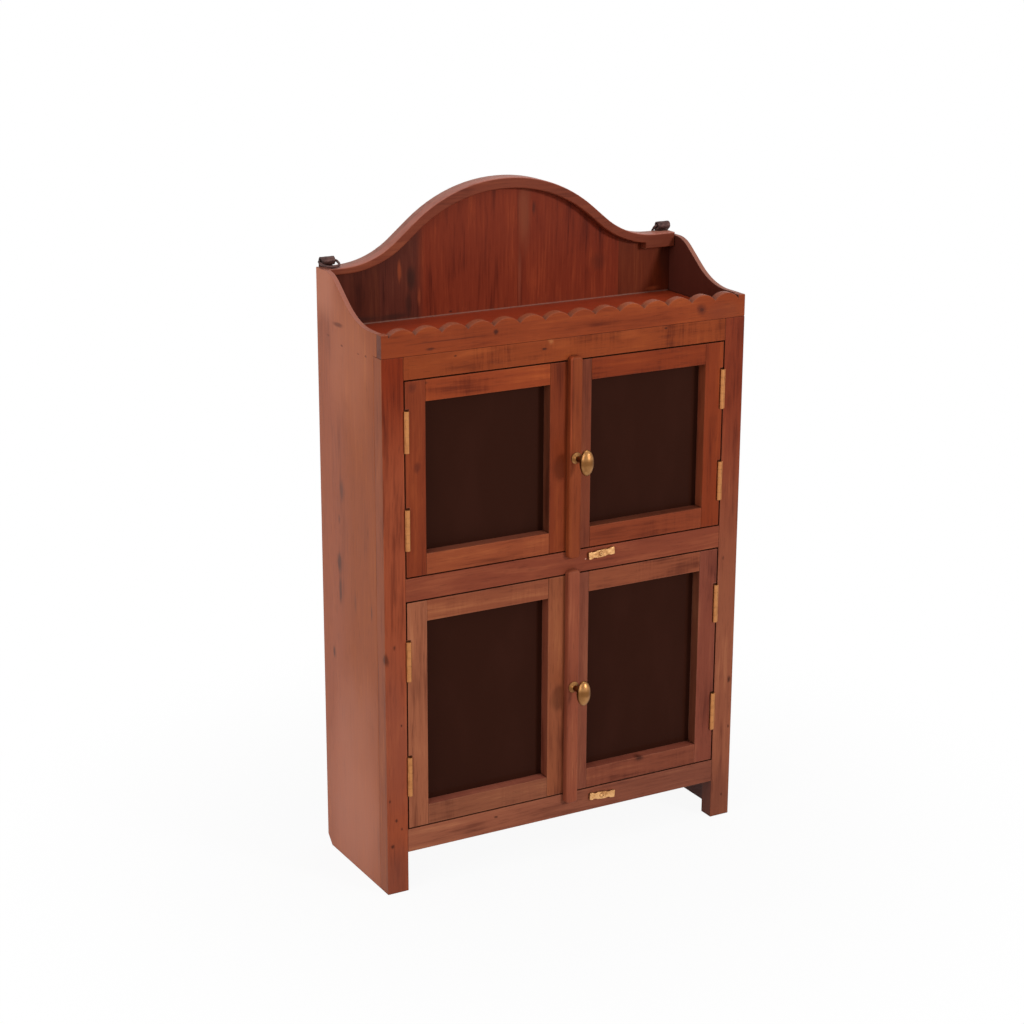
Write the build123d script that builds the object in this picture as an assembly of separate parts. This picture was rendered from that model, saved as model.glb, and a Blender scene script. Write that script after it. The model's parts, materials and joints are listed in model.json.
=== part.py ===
from build123d import *
import math
import os

# Small wooden wall cabinet: four glazed doors in a face frame, under an open gallery with an
# arched back.  Millimetres, +Z up, the front towards -Y.  Pieces are drawn with the front face
# of the face frame at y = 0 and the floor at z = 0; save() then sets the origin under the
# middle of the whole object's box.

# ---- carcase ----
width = 380.0
depth = 132.0  # front of the face frame to the back of the planks
leg_height = 39.0
bottom_rail_height = 22.8
lower_opening_height = 222.1
middle_rail_height = 21.8
upper_opening_height = 182.3
top_rail_height = 21.0
frame_thickness = 16.0
stile_width = 21.4
side_thickness = 5.0
back_thickness = 8.0
board_thickness = 9.0  # gallery shelf, divider shelf and bottom board
arris = 0.6  # softened edges of planed wood
foot_chamfer = 9.0  # rear bottom corner of each side panel

# ---- gallery ----
gallery_rail_height = 21.0  # scalloped rail, at its plain ends
gallery_rail_thickness = 9.2
gallery_floor_rise = 3.0  # gallery shelf above the stiles
scallop_span = 365.0  # row of lobes between the plain ends
scallop_count = 14
scallop_dip = 3.0  # hollows, below the plain ends
scallop_crown = 3.3  # crowns, above the plain ends
wing_rise = 38.0  # side wings above the plain ends of the rail
wing_flat = 29.7  # level top of a wing, measured from the rear
wing_slope = 37.0  # degrees
wing_top_radius = 34.0
wing_foot_radius = 77.0

# ---- arched back and its crest strip ----
arch_rise = 69.5  # above the wings
arch_offset = -3.4  # middle of the arch, from the middle of the cabinet
arch_slope = 39.7  # degrees, of the straight flanks
arch_end_level = 47.3  # from a side to where a flank's line meets the wings' level
arch_right_rise = 3.0  # level right end, above the wings; the left end is level with them
arch_foot_radius = 86.0
apex_flat = 1.0  # half of the short level stretch at the apex
flank_straight = 1.0  # straight stretch that a flank keeps between its foot and its top
crest_thickness = 9.5
crest_apex_height = 10.2
crest_flank_height = 8.8  # square to the flanks
crest_left_height = 6.0  # at the left end
crest_foot_height = 8.4  # at the right foot, before the step
crest_right_height = 13.7  # at the right end, past the step
crest_end_length = 33.2  # from the step to the right end
crest_arris = 1.2
plank_joints = (-130.0, 14.0, 126.4)  # where the four back planks meet
plank_gap = 0.2

# ---- doors ----
door_gap = 1.2  # beside, above and below a door
meeting_offset = 1.0  # where the doors meet, from the middle of the cabinet
door_thickness = 15.5
hinge_stile_width = 20.0
meeting_stile_width = 21.2
door_rail_width = 19.8
rebate_lip = 5.0
bead_thickness = 2.0  # beads that hold the glass from behind
glass_thickness = 2.0
glass_play = 0.4  # around the pane, in its rebate

# ---- cover strips on the right doors ----
strip_width = 13.0
strip_lap = 4.6  # over the left door
strip_thickness = 6.5
# How far a strip runs past its door's lower and upper ends, over the rails.
strip_overlaps = {"upper": (7.0, 5.0), "lower": (10.0, 5.5)}
strip_corner = 4.0
strip_round = 2.2

# ---- butt hinges ----
hinge_length = 38.0
barrel_radius = 2.25
barrel_proud = 0.6  # barrel axis, in front of the face
barrel_gap = 0.15  # barrel to the stile, and between a barrel and the other leaf
frame_leaf_proud = 1.5  # front edge of the frame's leaf, in front of the face
knuckle_count = 5
knuckle_gap = 0.15
notch_clearance = 0.3
notch_above = 1.6  # notch past a barrel's top end
leaf_thickness = 0.9
leaf_width = 12.0
leaf_gap = 0.1  # between the closed leaves
pin_radius = 0.8
pin_clearance = 0.05
upper_hinge_insets = (44.5, 45.3)  # door's bottom and top edges to the hinges' middles
lower_hinge_insets = (51.8, 55.5)
screw_radius = 1.0
screw_head_radius = 1.9
screw_length = 10.0
screw_spread = 11.0  # hinge's middle to each of its screws
screw_setback = 7.5  # front face to the screws
screw_clearance = 0.05

# ---- knobs ----
knob_rosette_radius = 5.4
knob_rosette_rim = 0.9  # height of the rosette's straight edge
knob_rosette_height = 2.2
knob_rosette_top_radius = 4.0
knob_neck_foot = 3.5  # strip's face to the foot of the neck
knob_neck_radius = 2.8  # at its foot
knob_waist_radius = 2.5
knob_waist_drop = 7.7  # middle of the head to the waist
knob_collar_radius = 3.8
knob_collar_drop = 3.1  # middle of the head to the collar's rim
knob_head_reach = 18.5  # strip's face to the middle of the head
knob_head_half_width = 7.1
knob_head_half_depth = 5.2
knob_head_half_height = 12.3
knob_spindle_radius = 1.5
knob_spindle_length = 14.0
spindle_clearance = 0.05

# ---- turn buttons ----
upper_button_x = 34.4
lower_button_x = 39.4
upper_button_rise = 15.3  # pivot above its rail's bottom edge
lower_button_rise = 13.5
button_long_end = 14.9  # pivot to the end that reaches over a door
button_short_end = 13.4
button_width = 7.4
button_thickness = 2.2
button_corner = 0.8
button_standoff = 0.5  # boss between button and rail
button_boss_radius = 3.0
button_scoop_radius = 5.0
button_scoop_depth = 0.8
button_scoops = (-7.5, 7.5)  # pivot to the hollows in the edges
upper_button_tilt = 4.0  # degrees from level, turned aside
lower_button_tilt = -5.0
button_screw_radius = 1.4
button_screw_head_radius = 2.4
button_screw_top_radius = 1.5
button_screw_head_height = 1.5
button_screw_depth = 10.0
button_play = 0.1

# ---- hangers ----
strap_width = 13.7
strap_thickness = 1.7
strap_left_inset = 3.2
strap_right_inset = 3.2
strap_drop = 26.0  # plate below the wood's top
strap_barrel_radius = 4.0
strap_barrel_gap = 1.0  # wood's top to the barrel
hanger_screw_drops = (9.0, 20.0)  # wood's top to the screws
hanger_screw_radius = 1.4
hanger_screw_head_radius = 2.4
hanger_screw_top_radius = 1.5
hanger_screw_head_height = 1.5
hanger_screw_tip_gap = 1.0  # tip to the front of the plank
ring_wire_radius = 1.3
ring_end_gap = 0.5  # barrel's end to the wire beside it
ring_length = 14.5  # barrel axis to the middle of the wire at the far side
ring_corner = 2.5
ring_rest_gap = 0.3  # resting ring to the wood

cut_past = 1.0  # how far a cutting solid reaches past what it cuts

# ---- levels and planes that follow ----
bottom_opening_z = leg_height + bottom_rail_height
middle_rail_z = bottom_opening_z + lower_opening_height
upper_opening_z = middle_rail_z + middle_rail_height
top_rail_z = upper_opening_z + upper_opening_height
stile_top = top_rail_z + top_rail_height
corner_z = stile_top + gallery_rail_height
wing_z = corner_z + wing_rise
apex_z = wing_z + arch_rise
half_width = width / 2
inner_half = half_width - side_thickness
opening_half = half_width - stile_width
plank_front = depth - back_thickness
glass_setback = door_thickness - bead_thickness - glass_thickness
ring_half_width = strap_width / 2 + ring_end_gap + ring_wire_radius
gallery_floor_z = stile_top + gallery_floor_rise
arch_end_z = {-1: wing_z, 1: wing_z + arch_right_rise}  # left and right
no_drops = {-1: 0, 1: 0}
strap_insets = {-1: strap_left_inset, 1: strap_right_inset}

# Slopes of a ring that rests on top of the wood, and of one that hangs over its rear edge.
barrel_y = depth + strap_thickness - strap_barrel_radius
barrel_rise = strap_barrel_gap + strap_barrel_radius
ring_clear = ring_wire_radius + ring_rest_gap
ring_droop = math.asin((barrel_rise - ring_clear) / ring_length)
edge_distance = math.hypot(depth - barrel_y, barrel_rise)
ring_hang = math.atan2(barrel_rise, depth - barrel_y) - math.asin(ring_clear / edge_distance)

# The whole object's reach in front of the face frame and behind it.
knob_reach = strip_thickness + knob_head_reach + knob_head_half_depth
ring_reach = barrel_y + ring_length * math.cos(ring_hang) + ring_wire_radius
face_y = knob_reach - (knob_reach + ring_reach) / 2


def block(x0, x1, y0, y1, z0, z1):
    """Box between two opposite corners, whichever way round they are given."""
    size = (abs(x1 - x0), abs(y1 - y0), abs(z1 - z0))
    middle = Pos((x0 + x1) / 2, (y0 + y1) / 2, (z0 + z1) / 2)
    return middle * Box(*size)


def board(x0, x1, y0, y1, z0, z1):
    """Planed piece of wood with softened arrises."""
    plain = block(x0, x1, y0, y1, z0, z1)
    return fillet(plain.edges(), arris)


def slab_xz(edges, y0, thickness):
    """Piece of even thickness, its outline drawn in x and z, from y0 backwards."""
    return Pos(0, y0, 0) * extrude(Plane.XZ * make_face(edges), -thickness)


def rod_x(x0, x1, y, z, radius):
    """Round bar along X."""
    return Pos((x0 + x1) / 2, y, z) * Rot(0, 90, 0) * Cylinder(radius, abs(x1 - x0))


def rod_y(x, y0, y1, z, radius):
    """Round bar along Y."""
    return Pos(x, (y0 + y1) / 2, z) * Rot(90, 0, 0) * Cylinder(radius, abs(y1 - y0))


def rod_z(x, y, z0, z1, radius):
    """Round bar along Z."""
    return Pos(x, y, (z0 + z1) / 2) * Cylinder(radius, abs(z1 - z0))


def save(name, *solids):
    """Writes one sub-part; several solids make one group."""
    placed = [Pos(0, face_y, 0) * solid for solid in solids]
    shape = placed[0] if len(placed) == 1 else Compound(children=placed)
    shape.label = name
    export_step(shape, f"parts/{name}.step")


# ---- hinges ----
# side is -1 for the left doors and +1 for the right ones.
barrel_x = opening_half - barrel_gap - barrel_radius
leaf_inset = (door_gap - leaf_gap) / 2
frame_leaf_x = opening_half - leaf_inset  # inner faces of the leaves
door_leaf_x = opening_half - door_gap + leaf_inset
knuckle_pitch = (hinge_length + knuckle_gap) / knuckle_count


def hinge_barrel(side, z_low, z_high, radius):
    return rod_z(side * barrel_x, -barrel_proud, z_low, z_high, radius)


def knuckles(side, z_middle, first, radius, grow=0.0):
    """Every second knuckle of one hinge, starting with the first or second one."""
    start = z_middle - hinge_length / 2
    found = []
    for index in range(first, knuckle_count, 2):
        low = start + index * knuckle_pitch
        high = low + knuckle_pitch - knuckle_gap
        found.append(hinge_barrel(side, low - grow, high + grow, radius))
    return found


def leaf_screws(face_x, direction, z_middle, grow=0.0):
    """Two countersunk screws whose heads lie in a leaf; grow gives their holes."""
    found = []
    for offset in (-screw_spread, screw_spread):
        head = Cone(screw_head_radius + grow, screw_radius + grow, leaf_thickness)
        shank = Pos(0, 0, screw_length / 2) * Cylinder(screw_radius + grow, screw_length)
        screw = Pos(0, 0, leaf_thickness / 2) * head + shank
        turn = Rot(0, 90 * direction, 0)
        found.append(Pos(face_x, screw_setback, z_middle + offset) * turn * screw)
    return found


def hinge_leaf(side, z_middle, first):
    """Flat leaf with its knuckles: first 0 for the frame's leaf, 1 for the door's."""
    front = -frame_leaf_proud if first == 0 else 0.0
    near = side * (frame_leaf_x if first == 0 else door_leaf_x)
    far = near + side * leaf_thickness * (1 if first == 0 else -1)
    low = z_middle - hinge_length / 2
    high = low + hinge_length
    leaf = block(near, far, front, leaf_width, low, high)
    for other in knuckles(side, z_middle, 1 - first, barrel_radius + barrel_gap, knuckle_gap):
        leaf -= other
    for own in knuckles(side, z_middle, first, barrel_radius):
        leaf += own
    leaf -= hinge_barrel(side, low - cut_past, high + cut_past, pin_radius + pin_clearance)
    direction = side if first == 0 else -side
    for hole in leaf_screws(near, direction, z_middle, screw_clearance):
        leaf -= hole
    return leaf


def cut_for_frame_leaf(stile, side, z_middle):
    """Recess in a face-frame stile for a leaf and its screws."""
    low = z_middle - hinge_length / 2
    far = side * (frame_leaf_x + leaf_thickness)
    stile -= block(side * (opening_half - cut_past), far, -cut_past, leaf_width, low,
                   low + hinge_length)
    for hole in leaf_screws(side * frame_leaf_x, side, z_middle, screw_clearance):
        stile -= hole
    return stile


def cut_for_door_leaf(stile, side, z_middle):
    """Recess for a leaf in the door's edge, and the notch that its barrel turns in."""
    low = z_middle - hinge_length / 2
    high = low + hinge_length
    edge = side * (opening_half - door_gap + cut_past)
    inner = side * (door_leaf_x - leaf_thickness)
    stile -= block(inner, edge, -cut_past, leaf_width, low, high)
    reach = barrel_radius + notch_clearance
    stile -= hinge_barrel(side, low - notch_clearance, high + notch_above, reach)
    stile -= block(side * barrel_x, edge, -cut_past, reach - barrel_proud,
                   low - notch_clearance, high + notch_above)
    for hole in leaf_screws(side * door_leaf_x, -side, z_middle, screw_clearance):
        stile -= hole
    return stile


# ---- doors ----
door_levels = {
    "upper": (upper_opening_z, upper_opening_height, upper_hinge_insets),
    "lower": (bottom_opening_z, lower_opening_height, lower_hinge_insets),
}
strip_x = meeting_offset + door_gap / 2 - strip_lap + strip_width / 2


def door_span(level):
    """Lowest and highest z of a door."""
    low, height, _ = door_levels[level]
    return low + door_gap, low + height - door_gap


def hinge_heights(level):
    low, high = door_span(level)
    from_bottom, from_top = door_levels[level][2]
    return low + from_bottom, high - from_top


def knob_height(level):
    return sum(door_span(level)) / 2


def spindle_hole(level):
    end = knob_spindle_length - strip_thickness
    return rod_y(strip_x, -strip_thickness - cut_past, end + spindle_clearance,
                 knob_height(level), knob_spindle_radius + spindle_clearance)


def save_door(level, name, side):
    """Frame of four members, pane, beads and hinge leaves of one door."""
    low, high = door_span(level)
    hinge_x = side * (opening_half - door_gap)
    meet_x = meeting_offset + side * door_gap / 2
    window_hinge_x = hinge_x - side * hinge_stile_width
    window_meet_x = meet_x + side * meeting_stile_width
    window_low = low + door_rail_width
    window_high = high - door_rail_width
    rebate_hinge_x = window_hinge_x + side * rebate_lip
    rebate_meet_x = window_meet_x - side * rebate_lip
    rebate_low = window_low - rebate_lip
    rebate_high = window_high + rebate_lip
    rebate = block(rebate_hinge_x, rebate_meet_x, glass_setback, door_thickness + cut_past,
                   rebate_low, rebate_high)

    hinge_stile = board(hinge_x, window_hinge_x, 0, door_thickness, low, high) - rebate
    meeting_stile = board(meet_x, window_meet_x, 0, door_thickness, low, high) - rebate
    if side > 0:
        meeting_stile -= spindle_hole(level)
    leaves = []
    for z_middle in hinge_heights(level):
        hinge_stile = cut_for_door_leaf(hinge_stile, side, z_middle)
        leaves.append(hinge_leaf(side, z_middle, 1))
        leaves += leaf_screws(side * door_leaf_x, -side, z_middle)
    save(f"{name}_hinge_stile", hinge_stile)
    save(f"{name}_meeting_stile", meeting_stile)
    save(f"{name}_hinge_leaves", *leaves)

    rail_spans = {"top_rail": (window_high, high), "bottom_rail": (low, window_low)}
    for rail_name, (rail_low, rail_high) in rail_spans.items():
        rail = board(window_hinge_x, window_meet_x, 0, door_thickness, rail_low, rail_high)
        save(f"{name}_{rail_name}", rail - rebate)

    pane = block(rebate_hinge_x - side * glass_play, rebate_meet_x + side * glass_play,
                 glass_setback, glass_setback + glass_thickness,
                 rebate_low + glass_play, rebate_high - glass_play)
    save(f"{name}_glass", pane)

    bead_front = glass_setback + glass_thickness
    beads = []
    for bead_low, bead_high in ((rebate_low, window_low), (window_high, rebate_high)):
        beads.append(block(rebate_hinge_x, rebate_meet_x, bead_front, door_thickness,
                           bead_low, bead_high))
    for outer, inner in ((rebate_hinge_x, window_hinge_x), (rebate_meet_x, window_meet_x)):
        beads.append(block(outer, inner, bead_front, door_thickness, window_low, window_high))
    save(f"{name}_glazing_beads", *beads)


def cover_strip(level):
    """Rounded strip on a right door's meeting stile, lapping the left door and both rails."""
    door_low, door_high = door_span(level)
    past_low, past_high = strip_overlaps[level]
    low = door_low - past_low
    high = door_high + past_high
    outline = RectangleRounded(strip_width, high - low, strip_corner)
    strip = extrude(Plane.XZ * outline, strip_thickness)
    front_edges = strip.faces().sort_by(Axis.Y)[0].edges()
    strip = fillet(front_edges, strip_round)
    return Pos(strip_x, 0, (low + high) / 2) * strip - spindle_hole(level)


def knob(level):
    """Round rosette, neck and an upright oval head, with a spindle into the wood."""
    profile = Polyline(
        (0, 0), (knob_rosette_radius, 0), (knob_rosette_radius, knob_rosette_rim),
        (knob_rosette_top_radius, knob_rosette_height), (knob_neck_radius, knob_neck_foot),
        (knob_waist_radius, knob_head_reach - knob_waist_drop),
        (knob_collar_radius, knob_head_reach - knob_collar_drop), (0, knob_head_reach), (0, 0))
    stem = revolve(Plane.XZ * make_face(profile), Axis.Z)
    ball = Sphere(knob_head_half_height)
    head = scale(ball, by=(knob_head_half_width / knob_head_half_height, 1,
                           knob_head_half_depth / knob_head_half_height))
    spindle = Pos(0, 0, -knob_spindle_length / 2) * Cylinder(knob_spindle_radius,
                                                             knob_spindle_length)
    upright = stem + Pos(0, 0, knob_head_reach) * head + spindle
    return Pos(strip_x, -strip_thickness, knob_height(level)) * Rot(90, 0, 0) * upright


def turn_button(x, z, tilt):
    """Flat brass catch, turned aside; its long end comes up over the door."""
    blank = Pos((button_long_end - button_short_end) / 2, 0) * RectangleRounded(
        button_long_end + button_short_end, button_width, button_corner)
    for offset in button_scoops:
        for edge in (-1, 1):
            scoop_y = edge * (button_width / 2 + button_scoop_radius - button_scoop_depth)
            blank -= Pos(offset, scoop_y) * Circle(button_scoop_radius)
    plate = extrude(blank, button_thickness)
    boss = Pos(0, 0, -button_standoff / 2) * Cylinder(button_boss_radius, button_standoff)
    bore_length = 2 * (button_thickness + button_standoff + cut_past)
    body = plate + boss - Cylinder(button_screw_radius + button_play, bore_length)
    return Pos(x, -button_standoff, z) * Rot(90, 0, 0) * Rot(0, 0, tilt) * body


def button_screw(x, z):
    """Round-headed screw that a turn button pivots on."""
    head_base = -button_standoff - button_thickness - button_play
    shank = rod_y(x, head_base, button_screw_depth, z, button_screw_radius)
    dome = Pos(x, head_base - button_screw_head_height / 2, z) * Rot(90, 0, 0) * Cone(
        button_screw_head_radius, button_screw_top_radius, button_screw_head_height)
    return shank + dome


# ---- face frame ----
upper_button_z = middle_rail_z + upper_button_rise
lower_button_z = leg_height + lower_button_rise


def face_stile(side):
    stile = board(side * opening_half, side * half_width, 0, frame_thickness, 0, stile_top)
    for level in door_levels:
        for z_middle in hinge_heights(level):
            stile = cut_for_frame_leaf(stile, side, z_middle)
    return stile


def face_rail(low, height):
    return board(-opening_half, opening_half, 0, frame_thickness, low, low + height)


def screw_hole(x, z):
    return rod_y(x, -cut_past, button_screw_depth, z, button_screw_radius)


def scalloped_rail():
    """Top rail of the gallery's front: a row of equal round lobes between plain ends."""
    hollow = corner_z - scallop_dip
    crown = corner_z + scallop_crown
    span_half = scallop_span / 2
    pitch = scallop_span / scallop_count
    outline = [Polyline((span_half, hollow), (span_half, corner_z), (half_width, corner_z),
                        (half_width, stile_top), (-half_width, stile_top),
                        (-half_width, corner_z), (-span_half, corner_z),
                        (-span_half, hollow))]
    for index in range(scallop_count):
        start = -span_half + index * pitch
        outline.append(ThreePointArc((start, hollow), (start + pitch / 2, crown),
                                     (start + pitch, hollow)))
    return slab_xz(outline, 0, gallery_rail_thickness)


def gallery_shelf():
    """Board that laps over the top rail and the stiles, up to the scalloped rail."""
    shelf = board(-inner_half, inner_half, gallery_rail_thickness, plank_front,
                  gallery_floor_z - board_thickness, gallery_floor_z)
    return shelf - block(-half_width, half_width, 0, frame_thickness, 0, stile_top)


def side_panel(side):
    """Full-depth side behind the face frame, with an ogee wing rising to the back."""
    slope_run = wing_rise / math.tan(math.radians(wing_slope))
    wing_corner = depth - wing_flat
    top = FilletPolyline((depth, wing_z), (wing_corner, wing_z),
                         (wing_corner - slope_run, corner_z), (gallery_rail_thickness, corner_z),
                         radius=[wing_top_radius, wing_foot_radius])
    rest = Polyline((gallery_rail_thickness, corner_z), (gallery_rail_thickness, stile_top),
                    (frame_thickness, stile_top), (frame_thickness, 0), (depth - foot_chamfer, 0),
                    (depth, foot_chamfer), (depth, wing_z))
    panel = extrude(Plane.YZ * make_face([top, rest]), side_thickness)
    outer_face = panel.faces().sort_by(Axis.X)[-1]
    panel = fillet(outer_face.edges(), arris)
    inner_x = inner_half if side > 0 else -inner_half
    placed = panel if side > 0 else mirror(panel, Plane.YZ)
    return Pos(inner_x, 0, 0) * placed


# ---- arched back ----
# Where the line of a flank crosses the wings' level and the apex level, from the arch's middle.
arch_foot = inner_half - arch_end_level
arch_shoulder = arch_foot - arch_rise / math.tan(math.radians(arch_slope))


def arch_line(apex_drop, end_drops, shoulder, foot_radius):
    """Level end, hollow foot, straight flank and round top, then the same mirrored.

    The line lies apex_drop below the top of the back, and end_drops below its two ends.
    """
    slope = math.radians(arch_slope)
    top_z = apex_z - apex_drop
    end_levels = {side: arch_end_z[side] - end_drops[side] for side in (-1, 1)}
    ends = []
    for side, end_z in end_levels.items():
        foot = shoulder + (top_z - end_z) / math.tan(slope)
        ends.append([(side * inner_half, end_z), (arch_offset + side * foot, end_z),
                     (arch_offset + side * shoulder, top_z)])
    flank = (top_z - max(end_levels.values())) / math.sin(slope)
    flank_room = flank - foot_radius * math.tan(slope / 2) - flank_straight
    top_radius = min(shoulder - apex_flat, flank_room) / math.tan(slope / 2)
    return FilletPolyline(*ends[0], *reversed(ends[1]),
                          radius=[foot_radius, top_radius, top_radius, foot_radius])


def back_planks():
    """Four upright planks, cut together to the arch."""
    arch = arch_line(0, no_drops, arch_shoulder, arch_foot_radius)
    sides = Polyline((inner_half, arch_end_z[1]), (inner_half, leg_height),
                     (-inner_half, leg_height), (-inner_half, arch_end_z[-1]))
    whole = slab_xz([arch, sides], plank_front, back_thickness)
    edges = (-inner_half, *plank_joints, inner_half)
    planks = []
    for left, right in zip(edges[:-1], edges[1:]):
        start = left + (plank_gap / 2 if left > -inner_half else 0)
        end = right - (plank_gap / 2 if right < inner_half else 0)
        planks.append(whole & block(start, end, 0, depth + cut_past, 0, apex_z + cut_past))
    return planks


def crest_strip():
    """Curved strip along the front of the arch, stepped down near its right end."""
    flank_drop = crest_flank_height / math.cos(math.radians(arch_slope))
    lower_shoulder = arch_shoulder - (flank_drop - crest_apex_height) / math.tan(
        math.radians(arch_slope))
    end_drops = {-1: crest_left_height, 1: crest_foot_height}
    upper = arch_line(0, no_drops, arch_shoulder, arch_foot_radius)
    lower = arch_line(crest_apex_height, end_drops, lower_shoulder,
                      arch_foot_radius + crest_flank_height)
    ends = [Line((side * inner_half, end_z - end_drops[side]), (side * inner_half, end_z))
            for side, end_z in arch_end_z.items()]
    strip = slab_xz([upper, lower, *ends], plank_front - crest_thickness, crest_thickness)
    strip += block(inner_half - crest_end_length, inner_half, plank_front - crest_thickness,
                   plank_front, arch_end_z[1] - crest_right_height,
                   arch_end_z[1] - crest_foot_height / 2)
    front_edges = strip.faces().sort_by(Axis.Y)[0].edges()
    return fillet(front_edges, crest_arris)


# ---- hangers ----
def strap_middle(side):
    return side * (half_width - strap_insets[side] - strap_width / 2)


def barrel_height(side):
    return arch_end_z[side] + barrel_rise


def hanger_screw_places(side):
    return [(strap_middle(side), arch_end_z[side] - drop) for drop in hanger_screw_drops]


def hanger_strap(side):
    """Iron strap on the rear face, its top end rolled forward into a barrel."""
    x0 = strap_middle(side) - strap_width / 2
    x1 = x0 + strap_width
    barrel_z = barrel_height(side)
    plate = block(x0, x1, depth, depth + strap_thickness, arch_end_z[side] - strap_drop, barrel_z)
    roll = rod_x(x0, x1, barrel_y, barrel_z, strap_barrel_radius)
    bore = rod_x(x0 - cut_past, x1 + cut_past, barrel_y, barrel_z,
                 strap_barrel_radius - strap_thickness)
    strap = plate + roll - bore
    for x, z in hanger_screw_places(side):
        strap -= rod_y(x, depth - cut_past, depth + strap_thickness + cut_past, z,
                       hanger_screw_radius + screw_clearance)
    return strap


def hanger_screws():
    """Round-headed screws through both straps into the back planks."""
    head_base = depth + strap_thickness
    tip = plank_front + hanger_screw_tip_gap
    found = []
    for side in (-1, 1):
        for x, z in hanger_screw_places(side):
            shank = rod_y(x, tip, head_base, z, hanger_screw_radius)
            dome = Pos(x, head_base + hanger_screw_head_height / 2, z) * Rot(-90, 0, 0) * Cone(
                hanger_screw_head_radius, hanger_screw_top_radius, hanger_screw_head_height)
            found.append(shank + dome)
    return found


def hanger_ring(side):
    """Round-wire loop whose straight bar turns in the barrel.

    The left one rests forward on the wood, the right one hangs back over its rear edge.
    """
    straight = ring_length - ring_half_width
    bar = FilletPolyline((-ring_half_width, -straight), (-ring_half_width, 0),
                         (ring_half_width, 0), (ring_half_width, -straight),
                         radius=[ring_corner, ring_corner])
    bow = ThreePointArc((-ring_half_width, -straight), (0, -ring_length),
                        (ring_half_width, -straight))
    loop = Wire([*bar.edges(), *bow.edges()])
    start = Plane(origin=loop @ 0, z_dir=loop % 0)
    ring = sweep(start * Circle(ring_wire_radius), path=loop)
    turn = ring_droop if side < 0 else math.pi - ring_hang
    turned = Rot(math.degrees(turn), 0, 0) * ring
    return Pos(strap_middle(side), barrel_y, barrel_height(side)) * turned


# ---- write every sub-part ----
os.makedirs("parts", exist_ok=True)

for side_name, side in (("left", -1), ("right", 1)):
    save(f"{side_name}_side_panel", side_panel(side))
    save(f"{side_name}_stile", face_stile(side))
    save(f"{side_name}_hanger_ring", hanger_ring(side))
    for level in door_levels:
        save_door(level, f"{level}_{side_name}", side)

save("bottom_rail", face_rail(leg_height, bottom_rail_height)
     - screw_hole(lower_button_x, lower_button_z))
save("middle_rail", face_rail(middle_rail_z, middle_rail_height)
     - screw_hole(upper_button_x, upper_button_z))
save("top_rail", face_rail(top_rail_z, top_rail_height))
save("scalloped_rail", scalloped_rail())

for board_name, board_top in (("divider_shelf", upper_opening_z),
                              ("bottom_board", bottom_opening_z)):
    save(board_name, board(-inner_half, inner_half, frame_thickness, plank_front,
                           board_top - board_thickness, board_top))
save("gallery_shelf", gallery_shelf())

screw_holes = [rod_y(x, plank_front + hanger_screw_tip_gap, depth + cut_past, z,
                     hanger_screw_radius)
               for side in (-1, 1) for x, z in hanger_screw_places(side)]
for number, plank in enumerate(back_planks(), start=1):
    for hole in screw_holes:
        plank -= hole
    save(f"back_plank_{number}", plank)
save("crest_strip", crest_strip())

for level in door_levels:
    save(f"{level}_cover_strip", cover_strip(level))
    save(f"{level}_knob", knob(level))
save("upper_turn_button", turn_button(upper_button_x, upper_button_z, upper_button_tilt))
save("lower_turn_button", turn_button(lower_button_x, lower_button_z, lower_button_tilt))
save("turn_button_screws", button_screw(upper_button_x, upper_button_z),
     button_screw(lower_button_x, lower_button_z))

frame_leaves = []
frame_screws = []
pins = []
for side in (-1, 1):
    for level in door_levels:
        for z_middle in hinge_heights(level):
            frame_leaves.append(hinge_leaf(side, z_middle, 0))
            frame_screws += leaf_screws(side * frame_leaf_x, side, z_middle)
            pins.append(hinge_barrel(side, z_middle - hinge_length / 2,
                                     z_middle + hinge_length / 2, pin_radius))
save("frame_hinge_leaves", *frame_leaves)
save("frame_hinge_screws", *frame_screws)
save("hinge_pins", *pins)
save("hanger_straps", hanger_strap(-1), hanger_strap(1))
save("hanger_screws", *hanger_screws())
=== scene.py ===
import bpy
import bmesh
import json
import math
from mathutils import Matrix, Vector, noise

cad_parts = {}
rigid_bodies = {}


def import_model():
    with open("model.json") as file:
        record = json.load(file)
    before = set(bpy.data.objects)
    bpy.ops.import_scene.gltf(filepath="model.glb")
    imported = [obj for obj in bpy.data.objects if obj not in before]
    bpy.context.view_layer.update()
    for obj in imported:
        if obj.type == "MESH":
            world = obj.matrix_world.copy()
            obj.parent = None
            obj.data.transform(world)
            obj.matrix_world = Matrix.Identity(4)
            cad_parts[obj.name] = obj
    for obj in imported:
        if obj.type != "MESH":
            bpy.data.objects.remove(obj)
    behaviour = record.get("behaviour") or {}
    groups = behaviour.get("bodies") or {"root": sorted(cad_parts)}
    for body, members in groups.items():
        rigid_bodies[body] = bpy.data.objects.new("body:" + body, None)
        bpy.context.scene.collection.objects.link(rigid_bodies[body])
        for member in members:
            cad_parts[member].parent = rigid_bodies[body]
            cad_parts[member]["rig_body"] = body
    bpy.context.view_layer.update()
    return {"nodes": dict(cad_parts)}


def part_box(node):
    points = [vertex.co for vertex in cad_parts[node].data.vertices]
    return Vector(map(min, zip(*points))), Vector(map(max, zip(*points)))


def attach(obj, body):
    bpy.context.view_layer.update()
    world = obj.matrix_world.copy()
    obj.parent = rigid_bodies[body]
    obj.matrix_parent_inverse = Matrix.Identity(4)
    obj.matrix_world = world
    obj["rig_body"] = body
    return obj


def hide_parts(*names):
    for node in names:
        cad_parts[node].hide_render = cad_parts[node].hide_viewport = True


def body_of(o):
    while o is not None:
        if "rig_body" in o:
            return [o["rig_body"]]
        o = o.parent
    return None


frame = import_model()
nodes = frame["nodes"]

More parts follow.
